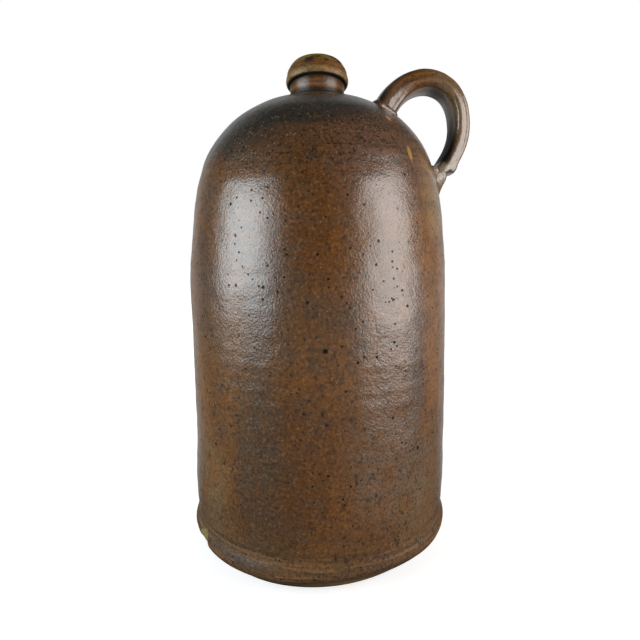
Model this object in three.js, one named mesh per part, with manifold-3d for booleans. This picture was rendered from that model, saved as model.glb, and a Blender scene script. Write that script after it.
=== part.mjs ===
// Stoneware jug: thrown sections luted together, a tooled collar and a pulled ring handle.
// Millimetres, +Z up, origin at the centre of the standing face, handle towards +X.
import * as THREE from 'three';
import { mergeVertices } from 'three/addons/utils/BufferGeometryUtils.js';
import Module from 'manifold-3d';

// Driving dimensions of the body
const BODY_RADIUS = 86.6; // outside of the wall, above the foot
const SHOULDER_RADIUS = 84; // outside of the wall, where the shoulder begins
const WALL = 7; // thickness of the wall and of the shoulder
const FLOOR = 11; // thickness of the floor
const UPRIGHT_HEIGHT = 130; // the wall leans in above about this height
const SEAM_HEIGHT = 192; // where the shoulder is luted to the wall
const CROWN_RISE = 106.5; // from the seam to where the shoulder's curve would close
const FULLNESS = 2.4; // exponent of the shoulder's curve, 2 is an ellipse

// Driving dimensions of the foot
const FOOT_HEIGHT = 26; // up to the waist above the bead
const STANDING_RADIUS = 73.5; // edge of the standing face
const BEVEL_BOW = 2; // how far the bevel under the bead bows out
const BEAD_SWELL = 1.6; // how far the bead stands out from the wall
const BEAD_HEIGHT = 16.5; // of its widest point
const FLOOR_RADIUS = 74; // of the floor's flange
const LEDGE_WIDTH = 6; // shelf in the foot that carries the flange
const LEDGE_HEIGHT = 6;
const CORNER_RISE = 8; // hollow between the floor and the wall, inside

// Driving dimensions of the neck, the collar and the mouth
const MOUTH_RADIUS = 10.5;
const NECK_RADIUS = 17.3; // at the shoulder
const NECK_HEIGHT = 8;
const NECK_SWELL = 0.5; // how far the neck bulges
const GROOVE_RADIUS = 16.8; // undercut between the neck and the collar
const COLLAR_RADIUS = 20.2; // at the collar's lower edge
const COLLAR_TOP_RADIUS = 18.2; // below the round of the rim
const COLLAR_HEIGHT = 14.5;
const COLLAR_EDGE = 1; // bevel along the lower edge
const COLLAR_COVE = 0.3; // depth of the tooled hollow round the collar
const RIM_ROUND = 4.6; // outer edge of the rim
const RIM_LIP = 1.5; // inner edge of the rim

// Driving dimensions of the handle
const HANDLE_WIDTH = 27; // along Y
const HANDLE_THICKNESS = 14.8; // where the strap leaves the shoulder
const HANDLE_END_THICKNESS = 11.8; // where it comes back
const HANDLE_SQUARENESS = 2.6; // exponent of its section, 2 is an ellipse
const HANDLE_REACH = 9.2; // middle of the strap beyond the shoulder, at its outermost
const OUTERMOST_RISE = 86; // height of that point above the seam
const UPPER_ROOT_RADIUS = 43.5; // where the strap leaves the shoulder
const UPPER_WAD_HEIGHT = 5;
const UPPER_WAD_LIP = 1; // how far the wad stands out round the strap's end
const UPPER_WAD_FLARE = 2; // how far it spreads towards the shoulder
const LOWER_ROOT_RISE = 52.5; // where the strap meets the shoulder, above the seam
const LOWER_ANGLE = 56; // degrees above level, at which the strap comes in
const LOWER_PAD_HEIGHT = 7;
const LOWER_PAD_STEP = 4; // how far the strap's end stands proud of the pad
const LOWER_PAD_FLARE = 2; // how far the pad spreads to the sides and up
const LOWER_TAIL = 22; // how far the pad is smeared down from the root
const UPPER_PULL = 27.5; // how hard the strap's curve is pulled along each end's direction
const ARCH_PULL = 32.8;
const DROP_PULL = 10.3;
const LOWER_PULL = 10.5;

// Joints between the sections
const JOINT_GAP = 0.3; // slip between faces that lie side by side
const LAP = 5; // height of the stepped joints in the wall
const SPIGOT_WALL = 3.4; // ring of the neck that drops into the shoulder
const SPIGOT_DEPTH = 5;
const COLLAR_SPIGOT_HEIGHT = 4; // ring of the neck that stands up inside the collar

// Fineness of the facets
const ROUND_STEPS = 48;
const DOME_STEPS = 14;
const CURVE_STEPS = 5;
const STRAP_STEPS = 30;
const STRAP_SIDES = 20;
const WELD = 1e-4;

// Sizes that follow from the ones above
const INNER_RADIUS = BODY_RADIUS - WALL;
const LAP_RADIUS = BODY_RADIUS - WALL / 2;
const SEAM_INNER_RADIUS = SHOULDER_RADIUS - WALL;
const SEAM_LAP_RADIUS = SHOULDER_RADIUS - WALL / 2;
const SPIGOT_RADIUS = MOUTH_RADIUS + SPIGOT_WALL;
const NECK_SEAT = SEAM_HEIGHT + domeRise(NECK_RADIUS, 0);
const COLLAR_SEAT = NECK_SEAT + NECK_HEIGHT;
const TOP = COLLAR_SEAT + COLLAR_HEIGHT;

const wasm = await Module();
wasm.setup();

// Glazes and clay
const brownGlaze = { color: 0x5c4029, roughness: 0.24, metalness: 0 };
const darkGlaze = { color: 0x4a3d33, roughness: 0.26, metalness: 0 };
const oliveGlaze = { color: 0x66492c, roughness: 0.26, metalness: 0 };
const bareClay = { color: 0x8a755c, roughness: 0.75, metalness: 0 };

// Height of the shoulder's curve above the seam at a radius; inset moves the curve inwards
function domeRise(radius, inset) {
  const share = radius / (SHOULDER_RADIUS - inset);
  return (CROWN_RISE - inset) * (1 - share ** FULLNESS) ** (1 / FULLNESS);
}

// Radius of the shoulder's curve at a height above the seam
function domeRadius(rise, inset) {
  const share = rise / (CROWN_RISE - inset);
  return (SHOULDER_RADIUS - inset) * (1 - share ** FULLNESS) ** (1 / FULLNESS);
}

// Points on the shoulder's curve from one height above the seam to another
function domeArc(fromRise, toRise, inset) {
  const angleAt = (rise) => Math.asin((rise / (CROWN_RISE - inset)) ** (FULLNESS / 2));
  const points = [];
  for (let i = 0; i <= DOME_STEPS; i += 1) {
    const angle = THREE.MathUtils.lerp(angleAt(fromRise), angleAt(toRise), i / DOME_STEPS);
    const radius = (SHOULDER_RADIUS - inset) * Math.cos(angle) ** (2 / FULLNESS);
    const rise = (CROWN_RISE - inset) * Math.sin(angle) ** (2 / FULLNESS);
    points.push(new THREE.Vector2(radius, SEAM_HEIGHT + rise));
  }
  return points;
}

// Outward direction of the shoulder's curve at a radius, in the handle's plane
function domeNormal(radius) {
  const across = (radius / SHOULDER_RADIUS) ** (FULLNESS - 1) / SHOULDER_RADIUS;
  const up = (domeRise(radius, 0) / CROWN_RISE) ** (FULLNESS - 1) / CROWN_RISE;
  return new THREE.Vector3(across, 0, up).normalize();
}

function lineThrough(path, points) {
  points.forEach((point) => path.lineTo(point.x, point.y));
}

// Position only, with shared vertices merged
function welded(geometry) {
  geometry.deleteAttribute('uv');
  geometry.deleteAttribute('normal');
  return mergeVertices(geometry, WELD);
}

// Solid of revolution about +Z from an outline of radius and height, outer side upwards
function turned(path) {
  const geometry = new THREE.LatheGeometry(path.getPoints(CURVE_STEPS), ROUND_STEPS);
  geometry.rotateX(Math.PI / 2);
  return welded(geometry);
}

// Closed solid through rings of as many points each, with a flat cap on both ends
function lofted(rings) {
  const sides = rings[0].length;
  const points = rings.flat();
  const triangles = [];
  for (let ring = 0; ring < rings.length - 1; ring += 1) {
    for (let side = 0; side < sides; side += 1) {
      const a = ring * sides + side;
      const b = ring * sides + (side + 1) % sides;
      triangles.push(a, a + sides, b, b, a + sides, b + sides);
    }
  }
  const last = (rings.length - 1) * sides;
  for (let side = 1; side < sides - 1; side += 1) {
    triangles.push(0, side, side + 1);
    triangles.push(last, last + side + 1, last + side);
  }
  const geometry = new THREE.BufferGeometry().setFromPoints(points);
  geometry.setIndex(triangles);
  return geometry;
}

function solidOf(geometry) {
  const vertProperties = new Float32Array(geometry.getAttribute('position').array);
  const triVerts = new Uint32Array(geometry.getIndex().array);
  return new wasm.Manifold(new wasm.Mesh({ numProp: 3, vertProperties, triVerts }));
}

function geometryOf(solid) {
  const mesh = solid.getMesh();
  const geometry = new THREE.BufferGeometry();
  geometry.setAttribute('position', new THREE.BufferAttribute(mesh.vertProperties, mesh.numProp));
  geometry.setIndex(new THREE.BufferAttribute(mesh.triVerts, 1));
  return geometry;
}

// What remains of a solid outside the shoulder and the slip on it
function trimmedToShoulder(geometry) {
  const filled = new THREE.Path();
  filled.moveTo(0, 0);
  filled.lineTo(BODY_RADIUS + JOINT_GAP, 0);
  filled.lineTo(BODY_RADIUS + JOINT_GAP, UPRIGHT_HEIGHT);
  lineThrough(filled, domeArc(0, CROWN_RISE + JOINT_GAP, -JOINT_GAP));
  return geometryOf(solidOf(geometry).subtract(solidOf(turned(filled))));
}

// Floor: a disc with a flange that lies on the ledge inside the foot
function baseFloor() {
  const bossRadius = FLOOR_RADIUS - LEDGE_WIDTH;
  const path = new THREE.Path();
  path.moveTo(0, 0);
  path.lineTo(bossRadius, 0);
  path.lineTo(bossRadius, LEDGE_HEIGHT);
  path.lineTo(FLOOR_RADIUS, LEDGE_HEIGHT);
  path.lineTo(FLOOR_RADIUS, FLOOR);
  path.lineTo(0, FLOOR);
  return turned(path);
}

// Foot: ring with the bead outside, the ledge inside and the step for the wall on top
function footRing() {
  const seatRadius = FLOOR_RADIUS + JOINT_GAP;
  const ledgeRadius = seatRadius - LEDGE_WIDTH;
  const beadRadius = BODY_RADIUS + BEAD_SWELL;
  const bevelMiddle = (STANDING_RADIUS + beadRadius) / 2;
  const waist = (BEAD_HEIGHT + FOOT_HEIGHT) / 2;
  const path = new THREE.Path();
  path.moveTo(ledgeRadius, 0);
  path.lineTo(STANDING_RADIUS, 0);
  path.quadraticCurveTo(bevelMiddle + BEVEL_BOW, BEAD_HEIGHT / 2, beadRadius, BEAD_HEIGHT);
  path.bezierCurveTo(beadRadius, waist, BODY_RADIUS, waist, BODY_RADIUS, FOOT_HEIGHT);
  path.lineTo(LAP_RADIUS, FOOT_HEIGHT);
  path.lineTo(LAP_RADIUS, FOOT_HEIGHT + LAP);
  path.lineTo(INNER_RADIUS, FOOT_HEIGHT + LAP);
  path.lineTo(INNER_RADIUS, FLOOR + CORNER_RISE);
  path.quadraticCurveTo(INNER_RADIUS, FLOOR, seatRadius, FLOOR);
  path.lineTo(seatRadius, LEDGE_HEIGHT);
  path.lineTo(ledgeRadius, LEDGE_HEIGHT);
  path.closePath();
  return turned(path);
}

// Wall: cylinder that leans in a little at the top and steps over the foot and into the shoulder
function bodyWall() {
  const path = new THREE.Path();
  path.moveTo(LAP_RADIUS + JOINT_GAP, FOOT_HEIGHT);
  path.lineTo(BODY_RADIUS, FOOT_HEIGHT);
  path.quadraticCurveTo(BODY_RADIUS, UPRIGHT_HEIGHT, SHOULDER_RADIUS, SEAM_HEIGHT);
  path.lineTo(SEAM_LAP_RADIUS, SEAM_HEIGHT);
  path.lineTo(SEAM_LAP_RADIUS, SEAM_HEIGHT + LAP);
  path.lineTo(SEAM_INNER_RADIUS, SEAM_HEIGHT + LAP);
  path.lineTo(SEAM_INNER_RADIUS, SEAM_HEIGHT);
  path.quadraticCurveTo(INNER_RADIUS, UPRIGHT_HEIGHT, INNER_RADIUS, FOOT_HEIGHT + LAP + JOINT_GAP);
  path.lineTo(LAP_RADIUS + JOINT_GAP, FOOT_HEIGHT + LAP + JOINT_GAP);
  path.closePath();
  return turned(path);
}

// Shoulder: domed shell with a flat seat round the opening for the neck
function shoulderDome() {
  const lapTop = LAP + JOINT_GAP;
  const opening = SPIGOT_RADIUS + JOINT_GAP;
  const path = new THREE.Path();
  path.moveTo(SEAM_LAP_RADIUS + JOINT_GAP, SEAM_HEIGHT);
  lineThrough(path, domeArc(0, domeRise(NECK_RADIUS, 0), 0));
  path.lineTo(opening, NECK_SEAT);
  lineThrough(path, domeArc(domeRise(opening, WALL), lapTop, WALL));
  path.lineTo(SEAM_LAP_RADIUS + JOINT_GAP, SEAM_HEIGHT + lapTop);
  path.closePath();
  return turned(path);
}

// Neck: bulging ring with a spigot down into the shoulder and one up into the collar
function neckRing() {
  const swollen = NECK_RADIUS + 2 * NECK_SWELL;
  const path = new THREE.Path();
  path.moveTo(MOUTH_RADIUS, NECK_SEAT - SPIGOT_DEPTH);
  path.lineTo(SPIGOT_RADIUS, NECK_SEAT - SPIGOT_DEPTH);
  path.lineTo(SPIGOT_RADIUS, NECK_SEAT);
  path.lineTo(NECK_RADIUS, NECK_SEAT);
  path.quadraticCurveTo(swollen, NECK_SEAT + NECK_HEIGHT / 2, GROOVE_RADIUS, COLLAR_SEAT);
  path.lineTo(SPIGOT_RADIUS, COLLAR_SEAT);
  path.lineTo(SPIGOT_RADIUS, COLLAR_SEAT + COLLAR_SPIGOT_HEIGHT);
  path.lineTo(MOUTH_RADIUS, COLLAR_SEAT + COLLAR_SPIGOT_HEIGHT);
  path.closePath();
  return turned(path);
}

// Collar: tapered band with an overhanging lower edge, a tooled hollow and a round rim
function collar() {
  const spigotTop = COLLAR_SEAT + COLLAR_SPIGOT_HEIGHT + JOINT_GAP;
  const bore = SPIGOT_RADIUS + JOINT_GAP;
  const middleRadius = (COLLAR_RADIUS + COLLAR_TOP_RADIUS) / 2;
  const middleHeight = COLLAR_SEAT + (COLLAR_EDGE + COLLAR_HEIGHT - RIM_ROUND) / 2;
  const path = new THREE.Path();
  path.moveTo(bore, COLLAR_SEAT);
  path.lineTo(COLLAR_RADIUS - COLLAR_EDGE, COLLAR_SEAT);
  path.lineTo(COLLAR_RADIUS, COLLAR_SEAT + COLLAR_EDGE);
  path.quadraticCurveTo(middleRadius - 2 * COLLAR_COVE, middleHeight, COLLAR_TOP_RADIUS, TOP - RIM_ROUND);
  path.quadraticCurveTo(COLLAR_TOP_RADIUS, TOP, COLLAR_TOP_RADIUS - RIM_ROUND, TOP);
  path.lineTo(MOUTH_RADIUS + RIM_LIP, TOP);
  path.quadraticCurveTo(MOUTH_RADIUS, TOP, MOUTH_RADIUS, TOP - RIM_LIP);
  path.lineTo(MOUTH_RADIUS, spigotTop);
  path.lineTo(bore, spigotTop);
  path.closePath();
  return turned(path);
}

// Ring of points: out reaches along the frame's outward side, back along its inner side
function section(frame, out, back, halfWidth) {
  const power = 2 / HANDLE_SQUARENESS;
  const points = [];
  for (let i = 0; i < STRAP_SIDES; i += 1) {
    const angle = (i / STRAP_SIDES) * 2 * Math.PI;
    const along = Math.cos(angle);
    const across = Math.sin(angle);
    const reach = (along > 0 ? out : back) * Math.sign(along) * Math.abs(along) ** power;
    const side = halfWidth * Math.sign(across) * Math.abs(across) ** power;
    const point = frame.middle.clone().addScaledVector(frame.outward, reach);
    points.push(point.add(new THREE.Vector3(0, side, 0)));
  }
  return points;
}

// Frame of a section in the handle's plane, square to the direction of travel
function frameAt(middle, travel) {
  return { middle, outward: new THREE.Vector3(-travel.z, 0, travel.x) };
}

const upperRoot = new THREE.Vector3(UPPER_ROOT_RADIUS, 0, SEAM_HEIGHT + domeRise(UPPER_ROOT_RADIUS, 0));
const upperTravel = domeNormal(UPPER_ROOT_RADIUS);
const upperEnd = upperRoot.clone().addScaledVector(upperTravel, UPPER_WAD_HEIGHT);
const lowerRootRadius = domeRadius(LOWER_ROOT_RISE, 0);
const lowerRoot = new THREE.Vector3(lowerRootRadius, 0, SEAM_HEIGHT + LOWER_ROOT_RISE);
const lowerAngle = THREE.MathUtils.degToRad(LOWER_ANGLE);
const lowerTravel = new THREE.Vector3(-Math.cos(lowerAngle), 0, -Math.sin(lowerAngle));
const lowerEnd = lowerRoot.clone().addScaledVector(lowerTravel, -LOWER_PAD_HEIGHT);
const outermost = new THREE.Vector3(SHOULDER_RADIUS + HANDLE_REACH, 0, SEAM_HEIGHT + OUTERMOST_RISE);

// Middle line of the strap: up off the shoulder, over to the outermost point and back in
function strapPath() {
  const path = new THREE.CurvePath();
  path.add(new THREE.CubicBezierCurve3(
    upperEnd,
    upperEnd.clone().addScaledVector(upperTravel, UPPER_PULL),
    outermost.clone().add(new THREE.Vector3(0, 0, ARCH_PULL)),
    outermost,
  ));
  path.add(new THREE.CubicBezierCurve3(
    outermost,
    outermost.clone().add(new THREE.Vector3(0, 0, -DROP_PULL)),
    lowerEnd.clone().addScaledVector(lowerTravel, -LOWER_PULL),
    lowerEnd,
  ));
  return path;
}

// Strap: pulled clay of a rounded section that thins along its length, bent into a ring
function handleStrap() {
  const path = strapPath();
  const ringAt = (frame, share) => {
    const half = THREE.MathUtils.lerp(HANDLE_THICKNESS, HANDLE_END_THICKNESS, Math.sqrt(share)) / 2;
    return section(frame, half, half, HANDLE_WIDTH / 2);
  };
  const rings = [ringAt(frameAt(upperEnd, upperTravel), 0)];
  for (let i = 1; i < STRAP_STEPS; i += 1) {
    const share = i / STRAP_STEPS;
    rings.push(ringAt(frameAt(path.getPointAt(share), path.getTangentAt(share)), share));
  }
  rings.push(ringAt(frameAt(lowerEnd, lowerTravel), 1));
  return trimmedToShoulder(lofted(rings));
}

// Upper wad: ring of clay that flares from the strap's end on to the shoulder
function upperWad() {
  const buried = upperRoot.clone().addScaledVector(upperTravel, -HANDLE_WIDTH / 2);
  const half = HANDLE_THICKNESS / 2 + UPPER_WAD_LIP;
  const halfWidth = HANDLE_WIDTH / 2 + UPPER_WAD_LIP;
  const spread = UPPER_WAD_FLARE * (1 + HANDLE_WIDTH / 2 / UPPER_WAD_HEIGHT);
  const base = section(frameAt(buried, upperTravel), half + spread, half + spread, halfWidth + spread);
  const face = section(frameAt(upperEnd, upperTravel), half, half, halfWidth);
  return trimmedToShoulder(lofted([base, face]));
}

// Lower pad: pressed from the strap's end on to the shoulder, with a tail smeared downwards
function lowerPad() {
  const inward = domeNormal(lowerRootRadius).negate();
  const buried = lowerRoot.clone().addScaledVector(inward, LOWER_PAD_HEIGHT);
  const half = HANDLE_END_THICKNESS / 2;
  const face = section(frameAt(lowerEnd, lowerTravel), half - LOWER_PAD_STEP, half, HANDLE_WIDTH / 2);
  const spread = half + LOWER_PAD_FLARE;
  const base = section(frameAt(buried, inward), LOWER_TAIL, spread, HANDLE_WIDTH / 2 + LOWER_PAD_FLARE);
  return trimmedToShoulder(lofted([face, base]));
}

const jug = new THREE.Group();

function addPiece(name, geometry, finish) {
  const mesh = new THREE.Mesh(geometry, new THREE.MeshStandardMaterial(finish));
  mesh.name = name;
  geometry.computeVertexNormals();
  jug.add(mesh);
}

addPiece('base_floor', baseFloor(), bareClay);
addPiece('foot_ring', footRing(), brownGlaze);
addPiece('body_wall', bodyWall(), brownGlaze);
addPiece('shoulder_dome', shoulderDome(), darkGlaze);
addPiece('neck_ring', neckRing(), oliveGlaze);
addPiece('collar', collar(), oliveGlaze);
addPiece('handle_strap', handleStrap(), brownGlaze);
addPiece('handle_upper_wad', upperWad(), brownGlaze);
addPiece('handle_lower_pad', lowerPad(), brownGlaze);

export default jug;
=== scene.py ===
"""Looks of the stoneware jug: thrown sections, pulled handle, salt glaze, stage and camera."""

import math
import bpy
import numpy as np
from mathutils import Matrix, Vector, noise


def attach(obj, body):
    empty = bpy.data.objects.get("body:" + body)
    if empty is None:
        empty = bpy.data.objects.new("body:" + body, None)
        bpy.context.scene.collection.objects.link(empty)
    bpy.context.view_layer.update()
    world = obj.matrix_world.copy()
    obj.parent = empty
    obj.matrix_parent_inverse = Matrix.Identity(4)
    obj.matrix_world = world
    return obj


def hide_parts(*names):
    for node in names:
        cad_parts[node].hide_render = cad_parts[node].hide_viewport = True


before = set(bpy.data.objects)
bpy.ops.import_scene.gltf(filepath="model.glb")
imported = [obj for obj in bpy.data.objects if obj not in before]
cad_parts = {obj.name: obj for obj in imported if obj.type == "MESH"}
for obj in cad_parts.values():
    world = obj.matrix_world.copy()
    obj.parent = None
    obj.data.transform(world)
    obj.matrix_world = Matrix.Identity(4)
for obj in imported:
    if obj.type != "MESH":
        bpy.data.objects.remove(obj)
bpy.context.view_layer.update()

MM = 0.001
SLIP = 0.3  # mm of slip between two sections

# Fineness of the surfaces
TURN = 480  # points round the body
NECK_TURN = 240  # points round the neck, the collar and the floor
STRAP_TURN = 128  # points round the strap and the wad
PAD_TURN = 96  # points round the pad
STRAP_COUNT = 170  # sections along the strap
FLOOR_RINGS = 60  # on each face of the floor
STEP = 1.15  # mm between the rows of the body
SHARP = 50  # degrees between faces that show as an edge

# Floor: the disc and its flange on the foot's ledge, in mm
DISC_RADIUS, FLANGE_RADIUS = 68.0, 74.0
LEDGE, FLOOR_TOP = 6.0, 11.0
FLOOR_HOLLOW = 0.7  # under the middle
MARK_HEIGHT, MARK_PITCH = 0.25, 3.4  # turning marks: the pitch is for one radian

# Outside of the body, as radius and height in mm, from the standing edge to the neck
OUTLINE = [
    (72.6, 0.0), (73.6, 0.5), (74.9, 1.7), (78.4, 5.2), (84.2, 10.3), (87.2, 13.6), (88.4, 16.8),
    (87.9, 19.6), (86.9, 22.6), (86.3, 26.0), (86.6, 31.0), (86.95, 40.0), (87.0, 52.0), (86.3, 80.0),
    (86.0, 110.0), (85.9, 140.0), (85.6, 172.0), (84.8, 190.0), (83.2, 206.4), (80.2, 232.2),
    (75.8, 249.4), (70.5, 262.3), (62.6, 273.5), (53.8, 282.1), (43.0, 289.0), (36.1, 292.4),
    (27.0, 295.3), (22.0, 296.3), (20.0, 296.8), (18.6, 297.5), (17.8, 298.2),
]
WAIST = 26.0  # the foot ends and the wall begins
SEAM = 192.0  # the wall ends and the shoulder begins
# Insides of the foot, the wall and the shoulder, from the top down
FOOT_INSIDE = [
    (79.6, WAIST), (79.6, 19.0), (78.4, 14.0), (FLANGE_RADIUS + SLIP, FLOOR_TOP), (FLANGE_RADIUS + SLIP, LEDGE),
    (DISC_RADIUS + SLIP, LEDGE), (DISC_RADIUS + SLIP, 0.0),
]
WALL_INSIDE = [(77.6, SEAM), (78.6, 160.0), (79.3, 120.0), (79.5, 70.0), (79.6, WAIST)]
DOME_OPENING = (14.2, 297.6)  # its upper edge
DOME_INSIDE = [
    (14.2, 290.9), (24.0, 289.6), (34.0, 285.9), (44.0, 280.0), (54.0, 271.5), (62.0, 261.5), (68.5, 249.0),
    (73.0, 233.0), (76.2, 212.0), (77.6, SEAM),
]
# How far the axis wanders towards the handle at a height
WANDER = [(0, 0.0), (36, -0.4), (86, 0.5), (130, 0.1), (180, -0.4), (240, -0.1), (290, 0.3), (330, 0.3)]
LINE_HEIGHT, LINE_PITCH = 0.15, 5.5  # throwing lines, mm
# Heights from which the relief grows, at the standing edge and at the neck
CALM_EDGE, CALM_NECK = (0.0, 3.0), (298.0, 290.0)
# The foot is pressed in at the right of the front and out at its left: mm, degrees round and spread
PRESSED_IN = (1.2, -62, 24)
PRESSED_OUT = (2.5, -126, 27)
PRESSED_HEIGHTS = (23.0, 11.0)  # none at the first, all at the second
BREAK = (-146.0, -143.0)  # degrees round where the pressed part breaks off
BEYOND_BREAK = 0.5  # mm that the bead stands out beyond it
BEYOND_HEIGHTS = (23.0, 17.0)
BEYOND_BACK = (150.0, 180.0)  # degrees round where that ends
CHIP = (-149.0, 15.0)  # degrees round and height of the chip in the bead
CHIP_DEPTH = 0.7
CHIP_STRETCH = (1.15, 0.8)  # mm for each degree and each mm
CHIP_EDGE = (6.4, 4.6)

# Relief in layers of a height and a size in mm and a seed
BODY_RELIEF = [(0.40, 32.0, 3.3), (0.13, 9.0, 8.1)]
CHIP_RELIEF = [(1.2, 4.0, 2.2)]
NECK_RELIEF = [(0.08, 6.0, 4.4)]
COLLAR_RELIEF = [(0.10, 8.0, 1.7), (0.05, 3.0, 6.2)]
STRAP_RELIEF = [(0.22, 16.0, 5.5), (0.09, 5.0, 9.9)]
WAD_RELIEF = [(0.3, 7.0, 2.8)]
PAD_RELIEF = [(0.15, 6.0, 7.3)]

# Neck and collar: the collar leans back on the neck
COLLAR_CENTRE = 305.9  # height of the middle of its lower edge
COLLAR_LEAN = 10.3  # degrees
NECK_ASIDE = 0.3  # towards the handle
NECK_SPREAD = (30.0, 18.0)  # radii between which the shoulder begins to follow the lean
NECK_FOLLOW = 0.3  # share of the lean that it follows
MOUTH = 10.5  # radius
# Neck as radius and height above the collar's lower edge: it flares a little towards the collar
NECK = [
    (16.6, -11.5), (17.0, -10.0), (17.2, -8.0), (17.35, -6.0), (17.55, -4.0), (17.8, -2.2), (17.9, -1.2),
    (17.6, -0.4), (16.8, 0.3),
]
NECK_BORE = [(MOUTH, 0.3), (MOUTH, -13.0), (13.0, -13.0), (13.0, -8.2)]
# Collar as radius and height above its lower edge, from the neck out and over to the mouth
COLLAR = [
    (16.6, 0.2), (17.8, -0.15), (18.9, -0.2), (19.55, 0.15), (20.0, 1.0), (20.25, 2.2), (20.2, 3.4),
    (19.85, 4.5), (19.5, 5.4), (19.5, 6.3), (19.3, 7.5), (18.85, 8.7), (18.25, 9.8), (17.7, 10.9),
    (16.9, 12.1), (15.8, 13.15), (14.4, 13.85), (13.0, 14.0), (11.8, 13.8), (10.9, 13.0), (10.5, 11.8),
]
COLLAR_BORE = [(MOUTH, 6.0), (MOUTH, 0.3)]

# Handle: middle line and section of the strap in mm, in the plane of X and Z
STRAP_START = (45.6, 293.2)
STRAP_START_LEAN = 32.0  # degrees from upright
STRAP_OUTERMOST = (93.5, 278.7)
STRAP_END = (83.5, 251.5)
STRAP_END_RISE = 57.0  # degrees above level
STRAP_PULLS = (27.8, 33.5, 10.3, 10.4)  # of its two curves: at the start, above and below the middle, at the end
STRAP_BURIED = 9.0  # length before its start
STRAP_WIDTH = 27.0
STRAP_THICKNESS = [(0.0, 15.8), (0.25, 14.2), (0.5, 12.0), (0.75, 12.2), (1.0, 13.0)]  # along its length
STRAP_FLATTER = [(0.0, 0.2), (0.2, 0.7), (0.42, 1.2), (0.6, 0.8), (1.0, 0.9)]  # off its outside
STRAP_RIDGES = 0.20
RIDGES_OUT, RIDGES_ACROSS, RIDGES_SEED = 2.6, 3.4, 4.2  # how dense they are out and across
# Half of the strap's section: out from the jug and across, as shares of its half thickness and width.
# The flat slopes away outwards as here on the outer limb, and inwards at the root.
STRAP_WIDEST = -0.40
STRAP_SECTION = [
    (1.0, 0.0), (0.985, 0.40), (0.93, 0.66), (0.80, 0.79), (0.45, 0.88), (0.10, 0.955), (-0.20, 0.993),
    (STRAP_WIDEST, 1.0), (-0.62, 0.95), (-0.82, 0.78), (-0.94, 0.50), (-0.985, 0.25), (-1.0, 0.0),
]
STRAP_TURNED = 0.42  # share of the length along which the flat turns outwards
# The strap's end has a pressed lip outside, and a squarer corner inside that runs on into the pad
LIP_HEIGHT, LIP_PLACE = 0.9, 3.0  # the lip lies that far before the end
LIP_DROP, LIP_EDGE = 1.4, 1.6  # it drops along its last edge
CORNER, CORNER_RANGE = 0.7, (14.0, 2.0)  # share by which the corner is squarer, and mm before the end
RUN_ON, RUN_ON_RANGE = 1.1, (10.0, 0.0)  # mm for each mm inwards, and mm before the end
RUN_ON_FROM = 2.0  # mm out from the middle
# Wad: rise along the strap, spread to the sides and back, and spread outwards
WAD_ROOT = 7.6  # below the strap's start
WAD = [
    (-7.0, 4.5, 8.0), (-3.0, 3.8, 5.8), (0.0, 3.2, 3.9), (2.0, 2.9, 2.5), (3.6, 2.4, 1.4), (4.6, 1.7, 0.8),
    (5.1, 0.8, 0.3), (5.0, -0.9, -0.9),
]
# Pad: height, thickness and half width
PAD = [
    (254.0, 0.9, 12.9), (252.6, 4.6, 13.5), (250.8, 7.4, 13.8), (249.0, 8.7, 13.8), (247.0, 8.4, 13.7),
    (245.0, 7.5, 13.4), (242.5, 5.6, 12.7), (240.0, 3.7, 11.5), (237.0, 1.9, 9.4), (234.4, 0.65, 6.7),
    (232.4, 0.05, 3.2),
]
PAD_SUNK = 1.6  # depth of its back in the shoulder
PAD_CORNER, PAD_CORNER_HEIGHTS = 0.6, (241.0, 249.0)  # share by which its upper part is squarer

# Iron spots in the glaze: degrees round from the handle, height and width in mm
IRON_SPOTS = [
    (-88, 148, 2.9), (-82, 150, 1.5), (-76, 141, 1.7), (-101, 200, 1.6), (-90, 200, 1.7), (-86, 182, 1.0),
    (-86, 187, 1.5), (-94, 175, 1.5), (-65, 185, 1.2), (-61, 186, 1.4), (-59, 191, 1.2), (-59, 181, 1.2),
    (-70, 180, 1.2), (-109, 219, 1.3), (-126, 227, 1.8), (-123, 230, 1.2), (-111, 229, 1.5), (-121, 201, 1.3),
    (-125, 182, 1.5), (-110, 176, 1.4), (-116, 189, 1.3), (-96, 113, 1.5), (-48, 84, 2.2), (-137, 85, 2.0),
    (-82, 63, 1.5), (-81, 60, 1.3), (-79, 70, 1.4), (-105, 15, 1.5), (-52, 242, 1.5), (-120, 214, 1.1),
    (-79, 171, 1.2), (-68, 143, 1.4), (-50, 214, 1.1), (-30, 207, 1.2), (-50, 132, 1.3), (-37, 89, 1.8),
    (-102, 222, 1.0), (-87, 219, 1.0), (-102, 188, 1.3), (-142, 151, 1.5), (-63, 173, 1.2), (-61, 175, 1.2),
    (-61, 151, 1.9), (-62, 147, 1.3), (-124, 258, 1.4), (-57, 91, 1.3), (-41, 64, 1.2), (-93, 72, 1.3),
]
SCATTERED_SPOTS = 260  # more of them, all round
SCATTER_HEIGHTS = (12, 270)
SCATTER_WIDTH, SCATTER_WIDER = 0.55, 0.75  # the least, and up to that much more
SPOT_SIDES = 12
SPOT_WOBBLE = 0.22
SPOT_RINGS = ((1.0, -0.30), (0.97, 0.02), (0.6, 0.03))  # share of the radius and mm above the glaze
SPOT_BOTTOM, SPOT_TOP = -0.32, 0.03


def ease(value, low, high):
    """0 at low, 1 at high and smooth between; high may be the smaller one."""
    share = np.clip((np.asarray(value, float) - low) / (high - low), 0.0, 1.0)
    return share * share * (3 - 2 * share)


def hump(angle, centre, spread):
    """1 at an angle in degrees, falling off to both sides round the circle."""
    away = (np.asarray(angle, float) - centre + 180) % 360 - 180
    return np.exp(-((away / spread) ** 2))


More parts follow.
